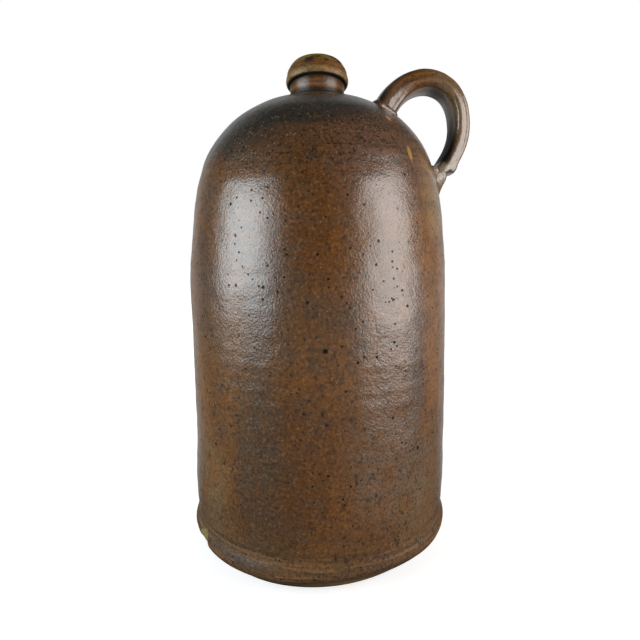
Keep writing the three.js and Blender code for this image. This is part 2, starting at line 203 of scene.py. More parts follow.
def lumps(points, size, seed):
    """Smooth random relief between about -1 and 1 at points in mm."""
    flat = np.asarray(points).reshape(-1, 3) / size + seed
    heights = np.array([noise.noise(place) for place in flat.tolist()])
    return heights.reshape(np.asarray(points).shape[:-1])


def relief(points, layers):
    """Layers of lumps, in mm."""
    return sum(height * lumps(points, size, seed) for height, size, seed in layers)


def blend(a, b, start, end, at):
    """On the way from a at the start to b at the end."""
    return ((end - at) * a + (at - start) * b) / (end - start)


def smooth_line(points, step):
    """Points about a step apart on a smooth curve through the given ones."""
    points = np.array(points, float)
    ends = np.vstack([2 * points[0] - points[1], points, 2 * points[-1] - points[-2]])
    line = [points[0]]
    for a, b, c, d in zip(ends, ends[1:], ends[2:], ends[3:]):
        count = max(1, math.ceil(np.linalg.norm(c - b) / step))
        ta, tb, tc, td = np.cumsum([0.0] + [np.linalg.norm(leg) ** 0.5 for leg in (b - a, c - b, d - c)])
        for at in tb + np.linspace(0, 1, count + 1)[1:] * (tc - tb):
            ab, bc, cd = blend(a, b, ta, tb, at), blend(b, c, tb, tc, at), blend(c, d, tc, td, at)
            line.append(blend(blend(ab, bc, ta, tc, at), blend(bc, cd, tb, td, at), tb, tc, at))
    return np.array(line)


def lengths(line):
    """How far along a line of points each of them is."""
    return np.concatenate([[0], np.cumsum(np.linalg.norm(np.diff(line, axis=0), axis=1))])


def placed(line, length, at):
    """Points of a flat line at given lengths."""
    return np.stack([np.interp(at, length, line[:, i]) for i in (0, 1)], axis=-1)


def round_rows(line, turn):
    """Level rings of points for an outline of radius and height."""
    angle = np.arange(turn) / turn * 2 * np.pi
    line = np.asarray(line, float)
    across = line[:, :1] * np.cos(angle)
    along = line[:, :1] * np.sin(angle)
    height = np.repeat(line[:, 1:], turn, axis=1)
    return np.stack([across, along, height], axis=-1)


def row_normals(rows):
    """Directions square to a surface of rings, pointing outwards if the rings run anticlockwise."""
    around = np.roll(rows, -1, axis=1) - np.roll(rows, 1, axis=1)
    upward = np.gradient(rows, axis=0)
    normal = np.cross(around, upward)
    return normal / np.linalg.norm(normal, axis=-1, keepdims=True)


def level_normals(rows):
    """Level directions away from the upright axis."""
    level = rows * (1, 1, 0)
    return level / np.linalg.norm(level, axis=-1, keepdims=True)


def pushed(rows, directions, push):
    return rows + directions * push[..., None]


def ring_faces(rings, turn, closed):
    """Quads between rings of points, and from the last ring to the first if closed."""
    first = np.arange(rings if closed else rings - 1)[:, None] * turn
    second = ((first // turn + 1) % rings) * turn
    here = np.arange(turn)[None, :]
    following = (here + 1) % turn
    quads = np.stack([first + here, first + following, second + following, second + here], axis=-1)
    return quads.reshape(-1, 4)


def end_fans(sides, first, last, bottom, top):
    """Triangles that close a loft: from its first ring to a bottom point and from its last ring to a top point."""
    faces = []
    for i in range(sides):
        j = (i + 1) % sides
        faces += [[first + j, first + i, bottom], [last + i, last + j, top]]
    return faces


def add_piece(name, node, material, points, faces, normals=None):
    """A closed mesh in mm that stands for a node and rides with the jug.

    Normals are for the first points of a mesh of quads. Faces of other points keep their own.
    """
    mesh = bpy.data.meshes.new(name)
    mesh.from_pydata((np.asarray(points) * MM).tolist(), [], faces)
    mesh.update()
    mesh.shade_smooth()
    if normals is None:
        mesh.set_sharp_from_angle(angle=math.radians(SHARP))
    else:
        loops = np.zeros(len(mesh.loops), np.int32)
        mesh.loops.foreach_get("vertex_index", loops)
        known = np.repeat(np.max(faces, axis=1) < len(normals), 4)
        loop_normals = np.zeros((len(loops), 3))
        loop_normals[known] = normals[loops[known]]
        mesh.normals_split_custom_set(loop_normals.tolist())
    mesh.materials.append(material)
    piece = bpy.data.objects.new(name, mesh)
    bpy.context.scene.collection.objects.link(piece)
    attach(piece, "root")
    if node:
        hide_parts(node)


def add_ring(name, node, material, rows, normals=None):
    """A piece like a bent tube: rings that lead round the section and back to the first."""
    rings, turn = rows.shape[:2]
    flat = None if normals is None else normals.reshape(-1, 3)
    add_piece(name, node, material, rows.reshape(-1, 3), ring_faces(rings, turn, True).tolist(), flat)


def add_loft(name, node, material, rows):
    """A piece through rings of points, with a fan on both ends."""
    rings, turn = rows.shape[:2]
    count = rings * turn
    points = np.vstack([rows.reshape(-1, 3), rows[0].mean(axis=0), rows[-1].mean(axis=0)])
    faces = ring_faces(rings, turn, False).tolist() + end_fans(turn, 0, count - turn, count, count + 1)
    add_piece(name, node, material, points, faces)


# Materials

DULL = 0.2  # shine of the ground under a glaze and of clay
COAT_IOR = 1.62


class Nodes:
    """Short ways to build the node tree of a material or a world."""

    def __init__(self, owner, coordinate="Object"):
        owner.use_nodes = True
        self.owner = owner
        self.tree = owner.node_tree
        self.place = self.make("ShaderNodeTexCoord").outputs[coordinate]

    def fill(self, node, values):
        """Sets a node's inputs to values or links them."""
        for key, value in values.items():
            if isinstance(value, bpy.types.NodeSocket):
                self.tree.links.new(value, node.inputs[key])
            else:
                node.inputs[key].default_value = value

    def make(self, kind, values=None, **settings):
        """A new node with its inputs and its settings."""
        node = self.tree.nodes.new(kind)
        for key, value in settings.items():
            setattr(node, key, value)
        self.fill(node, values or {})
        return node

    def parts(self, vector):
        """The X, Y and Z of a vector."""
        return self.make("ShaderNodeSeparateXYZ", {0: vector}).outputs

    def vector(self, operation, *values):
        return self.make("ShaderNodeVectorMath", dict(enumerate(values)), operation=operation).outputs[0]

    def math(self, operation, a, b=0.0):
        return self.make("ShaderNodeMath", {0: a, 1: b}, operation=operation).outputs[0]

    def times(self, a, b):
        return self.math("MULTIPLY", a, b)

    def without(self, value):
        """1 less a value."""
        return self.math("SUBTRACT", 1.0, value)

    def ramp(self, value, low, high, bottom=0.0, top=1.0):
        """value from low to high, taken smoothly to bottom to top."""
        values = {"Value": value, "From Min": low, "From Max": high, "To Min": bottom, "To Max": top}
        return self.make("ShaderNodeMapRange", values, interpolation_type="SMOOTHSTEP").outputs["Result"]

    def mix(self, share, a, b):
        """Colour a with a share of colour b."""
        return self.make("ShaderNodeMix", {0: share, 6: a, 7: b}, data_type="RGBA", clamp_result=True).outputs[2]

    def grain(self, size, detail=3.0, roughness=0.55, stretch=None, distortion=0.0):
        """Noise from 0 to 1 with features about a size in metres across."""
        vector = self.place
        if stretch:
            vector = self.make("ShaderNodeMapping", {"Vector": vector, "Scale": stretch}).outputs["Vector"]
        values = {"Vector": vector, "Scale": 1 / size, "Detail": detail, "Roughness": roughness,
                  "Distortion": distortion}
        return self.make("ShaderNodeTexNoise", values).outputs["Fac"]

    def distance(self, centre, stretch):
        """How far it is from a place in metres, with the three directions stretched."""
        scaled = self.vector("MULTIPLY", self.vector("SUBTRACT", self.place, centre), stretch)
        return self.make("ShaderNodeVectorMath", {0: scaled}, operation="LENGTH").outputs["Value"]

    def near(self, centre, inner, outer, stretch=(1, 1, 1)):
        """1 within an inner distance of a place in metres, 0 beyond the outer one."""
        return self.ramp(self.distance(centre, stretch), outer, inner)

    def dots(self, size, share, width, seed):
        """1 inside scattered ragged dots: a share of the cells of a size, each dot up to a width."""
        wave = self.make("ShaderNodeTexNoise", {"Vector": self.place, "Scale": 1 / (2.5 * width)}).outputs["Color"]
        ragged = self.vector("MULTIPLY", wave, (1.2 * width,) * 3)
        moved = self.vector("ADD", self.place, self.vector("ADD", ragged, (seed,) * 3))
        cells = self.make("ShaderNodeTexVoronoi", {"Vector": moved, "Scale": 1 / size}).outputs
        number = self.make("ShaderNodeSeparateColor", {0: cells["Color"]}).outputs[0]
        edge = self.ramp(cells["Distance"], width / size, 0.55 * width / size)
        return self.times(edge, self.math("LESS_THAN", number, share))

    def bump(self, height, strength, distance, normal=None):
        values = {"Height": height, "Strength": strength, "Distance": distance}
        if normal is not None:
            values["Normal"] = normal
        return self.make("ShaderNodeBump", values).outputs["Normal"]

    def finish(self, colour, roughness, normal, specular=DULL, coat=None, cover=1.0):
        """The finished material; a glaze has a clear coat of a roughness over its own rougher surface."""
        values = {"Base Color": colour, "Roughness": roughness, "Normal": normal, "Specular IOR Level": specular}
        if coat:
            values |= {"Coat Weight": cover, "Coat Roughness": coat, "Coat IOR": COAT_IOR, "Coat Normal": normal}
        self.fill(self.tree.nodes["Principled BSDF"], values)
        return self.owner


def on_body(azimuth, height, radius=86.0):
    """A place on the body in metres, from degrees round and mm."""
    turn = math.radians(azimuth)
    return (radius * math.cos(turn) * MM, radius * math.sin(turn) * MM, height * MM)


WHITE = (1, 1, 1, 1)
BLACK = (0.004, 0.004, 0.004, 1)
# near black of dark marks, also used as painted shade at the neck and inside the handle
NEAR_BLACK_AND_SHADE = (0.010, 0.009, 0.007, 1)
CHARCOAL = (0.023, 0.023, 0.019, 1)
UMBER = (0.070, 0.040, 0.027, 1)
DEEP = (0.112, 0.039, 0.006, 1)
BROWN = (0.160, 0.056, 0.007, 1)
WARM = (0.228, 0.086, 0.014, 1)
ORANGE = (0.290, 0.142, 0.058, 1)
DARK_BROWN = (0.072, 0.034, 0.012, 1)
PLUM = (0.125, 0.072, 0.052, 1)
GREY_BROWN = (0.078, 0.048, 0.026, 1)
FOOT_BROWN = (0.122, 0.071, 0.030, 1)
ASH_PLUM = (0.150, 0.099, 0.063, 1)
ASH_BROWN = (0.175, 0.124, 0.068, 1)
OCHRE = (0.360, 0.205, 0.050, 1)
BLOOM = (0.310, 0.190, 0.036, 1)
TAN = (0.320, 0.205, 0.095, 1)
OLIVE = (0.205, 0.116, 0.024, 1)
YELLOW_OLIVE = (0.230, 0.138, 0.016, 1)
PALE_ASH = (0.340, 0.275, 0.205, 1)
CHIP_CLAY = (0.230, 0.180, 0.060, 1)
PALE_CLAY = (0.290, 0.210, 0.135, 1)
DULL_CLAY = (0.190, 0.130, 0.080, 1)
DARK_CLAY = (0.110, 0.075, 0.048, 1)

# Broad tones on the body: degrees round, height and radius in mm; full within and none beyond a distance in
# metres; the three directions stretched; shares at two levels of the cloud; colour
TONES = [
    ((-114, 88, 86), (0.010, 0.040), (1.9, 1.0, 0.45), (0.30, 0.60, 0.24, 0.80), GREY_BROWN),
    ((-34, 185, 86), (0.020, 0.058), (1.4, 1.0, 0.46), (0.35, 0.62, 0.70, 0.35), ORANGE),
    ((-152, 80, 86), (0.018, 0.050), (1.4, 1.0, 0.42), (0.35, 0.60, 0.80, 0.80), WARM),
    ((-80, 152, 86), (0.012, 0.050), (1.2, 1.0, 0.55), (0.35, 0.60, 0.25, 0.65), DARK_BROWN),
    # partly the glaze's darker tone, partly painted shade where the left softbox's highlight should end lower down
    ((-107, 162, 86), (0.006, 0.032), (1.6, 1.0, 0.60), (0.35, 0.60, 0.25, 0.55), DARK_BROWN),
    ((-143, 196, 86), (0.006, 0.030), (2.0, 1.6, 0.34), (0.35, 0.55, 0.385, 0.70), UMBER),
    ((-49, 135, 86), (0.006, 0.030), (2.0, 1.6, 0.24), (0.35, 0.55, 0.4675, 0.85), UMBER),
    ((-134, 118, 86), (0.006, 0.030), (2.0, 1.6, 0.40), (0.35, 0.55, 0.22, 0.40), UMBER),
    ((-58, 250, 72), (0.015, 0.048), (1.0, 1.0, 0.90), (0.35, 0.60, 0.60, 0.60), PLUM),
    ((-30, 234, 80), (0.006, 0.027), (1.4, 1.0, 0.70), (0.35, 0.60, 0.85, 0.60), TAN),
    ((-152, 44, 86), (0.014, 0.050), (1.2, 1.0, 0.75), (0.35, 0.60, 0.25, 0.65), ASH_BROWN),
    ((-36, 48, 86), (0.014, 0.050), (1.2, 1.0, 0.75), (0.35, 0.60, 0.25, 0.65), ASH_BROWN),
    # greyish plum at the lower right front: partly the glaze's tone, partly a painted sheen of the floor's
    # reflection
    ((-62, 82, 86), (0.014, 0.050), (1.2, 1.0, 0.75), (0.35, 0.60, 0.25, 0.65), ASH_PLUM),
]
# Two ochre runs below the handle: degrees round, height and radius in mm, and how they are stretched
RUNS = [((-47.5, 275.6, 60.6), (1, 1, 0.50)), ((-44.9, 254.8, 73.8), (1, 1, 0.22))]


def body_glaze(name):
    """Brown salt glaze: mottled, dark round the neck, pebbled, with pits, specks and runs."""
    n = Nodes(bpy.data.materials.new(name))
    parts = n.parts(n.place)
    side, height = parts["X"], parts["Z"]
    broad = n.grain(0.045, 4.0, 0.55, stretch=(1, 1, 0.5), distortion=0.4)
    cloud = n.grain(0.013, 5.0, 0.62)
    smudge = n.grain(0.022, 3.0, 0.55, stretch=(1, 1, 0.7))
    rings = n.grain(0.0050, 3.0, 0.6, stretch=(0.07, 0.07, 1))
    lines = n.grain(0.0020, 2.0, 0.5, stretch=(0.04, 0.04, 1))
    salt = n.grain(0.0017, 3.0, 0.65)
    colour = n.mix(n.ramp(broad, 0.34, 0.56), DEEP, BROWN)
    colour = n.mix(n.ramp(broad, 0.52, 0.74, 0.0, 0.8), colour, WARM)
    colour = n.mix(n.ramp(cloud, 0.52, 0.72, 0.0, 0.50), colour, GREY_BROWN)
    colour = n.mix(n.ramp(smudge, 0.52, 0.70, 0.0, 0.38), colour, UMBER)
    for place, reach, stretch, cloudy, tone in TONES:
        share = n.times(n.near(on_body(*place), *reach, stretch), n.ramp(cloud, *cloudy))
        colour = n.mix(share, colour, tone)
    colour = n.mix(n.ramp(height, 0.060, 0.015, 0.0, 0.55), colour, FOOT_BROWN)
    # Rings left by the potter's fingers, clearer near the foot
    band = n.times(n.ramp(rings, 0.44, 0.70), n.ramp(height, 0.075, 0.020, 0.30, 0.60))
    colour = n.mix(band, colour, UMBER)
    near_foot = n.ramp(height, 0.036, 0.022)
    colour = n.mix(n.times(near_foot, n.ramp(lines, 0.50, 0.66, 0.0, 0.70)), colour, UMBER)
    colour = n.mix(n.times(near_foot, n.ramp(lines, 0.48, 0.34, 0.0, 0.45)), colour, ORANGE)
    # Charcoal round the neck, further down on the side away from the handle
    ragged = n.times(n.grain(0.020, 5.0, 0.6, stretch=(0.5, 0.5, 2.2)), 0.034)
    level = n.math("SUBTRACT", n.math("ADD", height, ragged), n.times(side, 0.24))
    colour = n.mix(n.ramp(level, 0.264, 0.294, 0.0, 0.64), colour, UMBER)
    colour = n.mix(n.ramp(level, 0.278, 0.300, 0.0, 0.92), colour, CHARCOAL)
    on_top = n.ramp(height, 0.222, 0.258)
    colour = n.mix(n.times(on_top, n.ramp(lines, 0.50, 0.66, 0.0, 0.38)), colour, NEAR_BLACK_AND_SHADE)
    # Dark mottles, longer than wide, and salt in dark and light grains
    mottle = n.ramp(n.grain(0.0036, 3.0, 0.6, stretch=(1, 1, 0.6)), 0.57, 0.68, 0.0, 0.62)
    colour = n.mix(n.times(mottle, n.ramp(broad, 0.36, 0.56, 0.25, 1.0)), colour, NEAR_BLACK_AND_SHADE)
    dark_salt = n.times(n.ramp(salt, 0.50, 0.32), n.ramp(level, 0.235, 0.275, 0.56, 1.0))
    colour = n.mix(dark_salt, colour, NEAR_BLACK_AND_SHADE)
    light_salt = n.mix(n.ramp(level, 0.25, 0.29), ORANGE, FOOT_BROWN)
    colour = n.mix(n.ramp(salt, 0.52, 0.70, 0.0, 0.42), colour, light_salt)
    grit = n.dots(0.0042, 0.50, 0.00042, 3.1)
    colour = n.mix(n.times(grit, n.ramp(smudge, 0.40, 0.60, 0.45, 0.90)), colour, TAN)
    # Ochre flecks in the charcoal and at the far left
    sandy = n.near(on_body(-148, 95), 0.020, 0.060, (1.5, 1.0, 0.45))
    flecked = n.math("MAXIMUM", n.ramp(level, 0.256, 0.282), n.times(sandy, 0.7))
    flecks = n.times(n.dots(0.0018, 0.65, 0.00046, 7.7), n.ramp(cloud, 0.38, 0.56, 0.25, 1.0))
    colour = n.mix(n.times(flecks, flecked), colour, OCHRE)
    # Pits and pores, which break the clear coat
    pits = n.times(n.dots(0.0046, 0.75, 0.00088, 5.3), n.ramp(cloud, 0.40, 0.54))
    pits = n.times(pits, n.ramp(height, 0.262, 0.232, 0.15, 1.0))
    large = n.times(n.dots(0.0085, 0.62, 0.00125, 1.9), n.ramp(height, 0.235, 0.200))
    pits = n.math("MAXIMUM", pits, n.times(large, n.ramp(height, 0.060, 0.110)))
    pores = n.times(n.dots(0.0023, 0.55, 0.00040, 9.2), n.ramp(broad, 0.35, 0.60, 0.35, 0.85))
    holes = n.math("MAXIMUM", pits, pores)
    colour = n.mix(n.times(holes, 0.85), colour, NEAR_BLACK_AND_SHADE)
    # Ochre runs below the handle and a yellow bloom along the bevel of the foot
    for place, stretch in RUNS:
        colour = n.mix(n.near(on_body(*place), 0.0011, 0.0024, stretch), colour, OCHRE)
    bloom = n.near(on_body(-76, 5.0, 79.5), 0.004, 0.017, (0.42, 0.7, 1.8))
    colour = n.mix(n.times(bloom, n.ramp(lines, 0.40, 0.58, 0.30, 0.90)), colour, BLOOM)
    # Bare olive clay where the bead is chipped, and dark blotches along the standing edge
    chip = n.distance(on_body(*CHIP, 87.5), (0.75, 0.75, 0.80))
    chip = n.ramp(n.math("ADD", chip, n.times(n.grain(0.0040, 3.0), 0.004)), 0.0080, 0.0070)
    colour = n.mix(n.times(chip, 0.90), colour, CHIP_CLAY)
    edge_blotches = n.ramp(n.grain(0.0050, 4.0, 0.6), 0.44, 0.56, 0.10, 0.95)
    colour = n.mix(n.times(n.ramp(height, 0.0046, 0.0008), edge_blotches), colour, NEAR_BLACK_AND_SHADE)
    # Orange-peel surface, calmer high up
    peel = n.times(n.grain(0.0040, 2.0, 0.5), n.ramp(height, 0.210, 0.160, 0.45, 1.0))
    pebbles = n.times(n.grain(0.0013, 2.5, 0.6), n.ramp(height, 0.230, 0.150, 0.70, 1.0))
    normal = n.bump(pebbles, 0.80, 0.00032, n.bump(peel, 0.36, 0.0005))
    rough = n.math("ADD", n.ramp(cloud, 0.30, 0.75, 0.34, 0.50), n.times(holes, 0.3))
    rough = n.math("MAXIMUM", rough, n.ramp(height, 0.034, 0.014, 0.34, 0.76))
    cover = n.times(n.ramp(height, 0.017, 0.042, 0.08, 1.0), n.without(holes))
    return n.finish(colour, rough, normal, coat=0.20, cover=cover)


def olive_glaze(name, tint, coat, gloss):
    """Olive brown glaze of the neck and the collar, banded, with painted shade in the creases."""
    n = Nodes(bpy.data.materials.new(name))
    parts = n.parts(n.place)
    lean = math.radians(COLLAR_LEAN)
    above = n.math("SUBTRACT", parts["Z"], COLLAR_CENTRE * MM)
    # Height above the collar's lower edge, square to it
    rise = n.math("ADD", n.times(above, math.cos(lean)), n.times(parts["Y"], math.sin(lean)))
    cloud = n.grain(0.010, 4.0, 0.6)
    fine = n.grain(0.0018, 4.0, 0.7)
    bands = n.grain(0.0034, 3.0, 0.55, stretch=(0.14, 0.14, 1.0))
    touches = n.grain(0.0036, 3.0, 0.6, stretch=(0.45, 0.45, 1.0))
    colour = n.mix(n.ramp(cloud, 0.35, 0.65), tint, WARM)
    colour = n.mix(n.ramp(bands, 0.47, 0.32, 0.0, 0.85), colour, UMBER)
    belt = n.times(n.ramp(rise, 0.0040, 0.0055), n.ramp(rise, 0.0095, 0.0080, 0.0, 0.85))
    colour = n.mix(belt, colour, BROWN)
    colour = n.mix(n.ramp(rise, 0.0085, 0.0105, 0.0, 0.75), colour, YELLOW_OLIVE)
    edge = n.times(n.ramp(rise, 0.0004, 0.0016), n.ramp(rise, 0.0044, 0.0030, 0.0, 0.32))
    colour = n.mix(edge, colour, TAN)
    touches = n.times(n.ramp(touches, 0.51, 0.60, 0.0, 0.92), n.ramp(rise, 0.0045, 0.0085, 0.35, 1.0))
    colour = n.mix(touches, colour, NEAR_BLACK_AND_SHADE)
    # painted shade at the neck's foot, where it meets the shoulder
    crease = n.ramp(above, -0.0028, -0.0058, 0.0, 0.9)
    colour = n.mix(crease, colour, NEAR_BLACK_AND_SHADE)
    # painted shade on the neck under the collar's overhang and on the collar's underside
    lip = n.times(n.ramp(rise, -0.0054, -0.0006), n.ramp(rise, 0.0006, -0.0002, 0.0, 0.95))
    colour = n.mix(lip, colour, NEAR_BLACK_AND_SHADE)
    colour = n.mix(n.ramp(fine, 0.50, 0.32, 0.0, 0.70), colour, NEAR_BLACK_AND_SHADE)
    colour = n.mix(n.times(n.dots(0.0030, 0.60, 0.0005, 2.2), 0.8), colour, NEAR_BLACK_AND_SHADE)
    normal = n.bump(n.grain(0.0016, 2.0, 0.5), 0.50, 0.0003, n.bump(bands, 0.12, 0.0006))
    rough = n.ramp(cloud, 0.30, 0.75, 0.38, 0.58)
    # the clear coat is left off where the shade is painted
    cover = n.times(n.without(n.math("MAXIMUM", lip, crease)), gloss)
    return n.finish(colour, rough, normal, coat=coat, cover=cover)


def strap_glaze(name):
    """Glossier brown glaze of the handle, streaked along the strap, with painted shade inside the loop and under
    its end.
    """
    n = Nodes(bpy.data.materials.new(name))
    cloud = n.grain(0.016, 4.0, 0.6)
    fine = n.grain(0.0018, 4.0, 0.7)
    from_middle = n.distance((0.0715, 0.0, 0.279), (1.0, 0.25, 1.0))
    across = n.math("ADD", n.times(from_middle, 460.0), n.times(cloud, 2.2))
    values = {"W": across, "Scale": 1.0, "Detail": 2.0}
    streak = n.make("ShaderNodeTexNoise", values, noise_dimensions="1D").outputs["Fac"]
    colour = n.mix(n.ramp(cloud, 0.36, 0.62), DEEP, BROWN)
    colour = n.mix(n.ramp(streak, 0.46, 0.66, 0.0, 0.60), colour, WARM)
    colour = n.mix(n.ramp(streak, 0.46, 0.32, 0.0, 0.75), colour, UMBER)
    colour = n.mix(n.ramp(cloud, 0.58, 0.72, 0.0, 0.5), colour, OLIVE)
    out = n.parts(n.place)["X"]
    colour = n.mix(n.ramp(out, 0.066, 0.046, 0.0, 0.50), colour, UMBER)
    # Outer limb paler: a tan glaze with a painted reflection of the right softbox
    limb = n.ramp(out, 0.064, 0.080)
    # painted shade on the inner side of the outer limb, facing the jug
    inside = n.times(limb, n.near((0.070, 0.0, 0.274), 0.0168, 0.0205, (1.0, 0.2, 0.62)))
    # painted highlight on the front of the strap's end, kept free of the painted shade
    end_sheen = n.near((0.0800, -0.0130, 0.2490), 0.0050, 0.0085, (1.0, 0.3, 1.0))
    inside = n.times(inside, n.without(end_sheen))
    # painted reflection of the right softbox over the outer limb's tan glaze
    colour = n.mix(n.times(limb, 0.55), colour, ASH_BROWN)
    colour = n.mix(n.times(end_sheen, 0.60), colour, PALE_ASH)
    root = n.near((0.0385, -0.006, 0.2975), 0.0040, 0.0100, (1.0, 0.5, 1.0))
    # painted shade under the strap's end, above the pad
    end = n.near((0.0860, -0.004, 0.2485), 0.0030, 0.0052, (0.7, 0.25, 1.0))
    # painted shade inside the loop and under the end, and darker round the root
    dark_and_shade = n.math("MAXIMUM", n.times(inside, 0.97), n.times(root, 0.9))
    dark_and_shade = n.math("MAXIMUM", dark_and_shade, n.times(end, 0.45))
    colour = n.mix(dark_and_shade, colour, NEAR_BLACK_AND_SHADE)
    colour = n.mix(n.ramp(fine, 0.50, 0.32, 0.0, 0.65), colour, NEAR_BLACK_AND_SHADE)
    colour = n.mix(n.times(n.dots(0.0036, 0.60, 0.0006, 4.4), 0.8), colour, NEAR_BLACK_AND_SHADE)
    normal = n.bump(n.grain(0.0036, 2.0, 0.5), 0.40, 0.0005)
    normal = n.bump(n.grain(0.0014, 2.0, 0.5), 0.35, 0.0002, normal)
    matt = n.times(inside, 0.85)
    rough = n.math("MAXIMUM", n.ramp(cloud, 0.30, 0.75, 0.28, 0.42), matt)
    return n.finish(colour, rough, normal, coat=0.18, cover=n.without(matt))


def iron_glaze(name):
    """Dull black iron of the spots."""
    n = Nodes(bpy.data.materials.new(name))
    colour = n.mix(n.grain(0.0008, 2.0), NEAR_BLACK_AND_SHADE, BLACK)
    rough = n.ramp(n.grain(0.002, 2.0), 0.3, 0.7, 0.55, 0.75)
    return n.finish(colour, rough, n.bump(n.grain(0.0012, 2.0), 0.2, 0.0003), specular=0.1)


def bare_clay(name):
    """Fired clay underneath: matt, gritty, with smoke stains."""
    n = Nodes(bpy.data.materials.new(name))
    broad = n.grain(0.030, 5.0, 0.6)
    fine = n.grain(0.0018, 4.0, 0.65)
    colour = n.mix(n.ramp(broad, 0.35, 0.65), DULL_CLAY, PALE_CLAY)
    colour = n.mix(n.ramp(fine, 0.35, 0.70, 0.0, 0.5), colour, DARK_CLAY)
    colour = n.mix(n.times(n.dots(0.0030, 0.6, 0.0006, 6.6), 0.8), colour, NEAR_BLACK_AND_SHADE)
    rough = n.ramp(fine, 0.3, 0.7, 0.70, 0.90)
    return n.finish(colour, rough, n.bump(fine, 0.5, 0.0004))


WALL_GLAZE = body_glaze("brown_glaze")
SHOULDER_GLAZE = body_glaze("dark_glaze")
NECK_GLAZE = olive_glaze("neck_glaze", BROWN, coat=0.24, gloss=0.6)
COLLAR_GLAZE = olive_glaze("collar_glaze", OLIVE, coat=0.45, gloss=0.35)
STRAP_GLAZE = strap_glaze("strap_glaze")
SPOT_GLAZE = iron_glaze("iron_glaze")
CLAY = bare_clay("bare_clay")


# Body: one surface from the standing edge to the neck, cut into the foot, the wall and the shoulder


def body_surface():
    """Outline and rings of the outside, uneven as it was thrown."""
    line = smooth_line(OUTLINE, STEP)
    rows = round_rows(line, TURN)
    height = rows[..., 2]
    angle = np.degrees(np.arctan2(rows[..., 1], rows[..., 0]))
    calm = ease(height, *CALM_NECK) * ease(height, *CALM_EDGE)
    push = calm * relief(rows, BODY_RELIEF)
    # Throwing lines climb round the body
    climb = height / LINE_PITCH + angle / 360
    climb = np.stack([climb, np.full_like(height, 0.5), np.full_like(height, 2.5)], axis=-1)
    push += calm * LINE_HEIGHT * lumps(climb, 1.0, 0.0)
    # The pressed foot and its break at the far left, beyond which the bead is chipped
    low = ease(height, *PRESSED_HEIGHTS)
    depth, *where = PRESSED_IN
    push -= low * depth * hump(angle, *where)
    depth, *where = PRESSED_OUT
    push += low * depth * hump(angle, *where) * ease(angle, *BREAK)
    round_angle = angle % 360
    beyond = ease(round_angle, BREAK[1] + 360, BREAK[0] + 360) * ease(round_angle, *BEYOND_BACK)
    push += beyond * BEYOND_BREAK * ease(height, *BEYOND_HEIGHTS)
    chip = np.hypot(CHIP_STRETCH[0] * (angle - CHIP[0]), CHIP_STRETCH[1] * (height - CHIP[1]))
    push -= CHIP_DEPTH * ease(chip + relief(rows, CHIP_RELIEF), *CHIP_EDGE)
    rows = pushed(rows, level_normals(rows), push)
    rows[..., 0] += np.interp(height, *np.array(WANDER).T)
    # Near the neck the shoulder rises at the front and sinks at the back
    near = ease(np.hypot(rows[..., 0], rows[..., 1]), *NECK_SPREAD)
    rows[..., 2] -= NECK_FOLLOW * near * math.tan(math.radians(COLLAR_LEAN)) * rows[..., 1]
    return line, rows


body_line, body_rows = body_surface()
body_normals = row_normals(body_rows)


def body_row(height):
    """Number of the ring nearest to a height."""
    return int(np.argmin(np.abs(body_line[:, 1] - height)))


def add_section(name, node, material, first, last, inside):
    """The body's surface between two rows, closed by an inside outline that leads back down."""
    rows = np.concatenate([body_rows[first:last + 1], round_rows(inside, TURN)])
    add_ring(name, node, material, rows, body_normals[first:last + 1])


waist_row, seam_row, top_row = body_row(WAIST), body_row(SEAM), len(body_rows) - 1
dome_inside = [DOME_OPENING] + smooth_line(DOME_INSIDE, step=4.0).tolist()
add_section("thrown_foot", "foot_ring", WALL_GLAZE, 0, waist_row, FOOT_INSIDE)
add_section("thrown_wall", "body_wall", WALL_GLAZE, waist_row, seam_row, WALL_INSIDE)
add_section("thrown_shoulder", "shoulder_dome", SHOULDER_GLAZE, seam_row, top_row, dome_inside)


def floor_rows():
    """Floor with turning marks above and a slightly hollow, wire-cut face below."""
    above = [(radius, FLOOR_TOP + MARK_HEIGHT * math.sin(radius / MARK_PITCH))
             for radius in np.linspace(1.0, FLANGE_RADIUS, FLOOR_RINGS)]
    below = [(radius, FLOOR_HOLLOW * (1 - (radius / DISC_RADIUS) ** 2))
             for radius in np.linspace(DISC_RADIUS, 1.0, FLOOR_RINGS)]
    return round_rows(above + [(FLANGE_RADIUS, LEDGE), (DISC_RADIUS, LEDGE)] + below, NECK_TURN)[::-1]


add_loft("clay_floor", "base_floor", CLAY, floor_rows())


# Neck and collar


def leaned(rows):
    """Rings given above the collar's lower edge, set on the leaning collar."""
    lean = math.radians(COLLAR_LEAN)
    along = rows[..., 1] * math.cos(lean) + rows[..., 2] * math.sin(lean)
    height = rows[..., 2] * math.cos(lean) - rows[..., 1] * math.sin(lean)
    return np.stack([rows[..., 0] + NECK_ASIDE, along, height + COLLAR_CENTRE], axis=-1)


def neck_rows():
    """Neck, upright at its foot and leaning at the collar, and its bore."""
    level = round_rows(smooth_line(NECK, step=0.4), NECK_TURN)
    upright = level + (NECK_ASIDE, 0.0, COLLAR_CENTRE)
    rows = upright + ease(level[..., 2:], NECK[0][1], -0.5) * (leaned(level) - upright)
    rows = pushed(rows, row_normals(rows), relief(rows, NECK_RELIEF))
    return np.concatenate([rows, leaned(round_rows(NECK_BORE, NECK_TURN))])


def collar_rows():
    """Collar and its bore."""
    rows = leaned(round_rows(smooth_line(COLLAR, step=0.45), NECK_TURN))
    rows = pushed(rows, level_normals(rows - rows.mean(axis=(0, 1))), relief(rows, COLLAR_RELIEF))
    return np.concatenate([rows, leaned(round_rows(COLLAR_BORE, NECK_TURN))])


add_ring("thrown_neck", "neck_ring", NECK_GLAZE, neck_rows())
add_ring("thrown_collar", "collar", COLLAR_GLAZE, collar_rows())


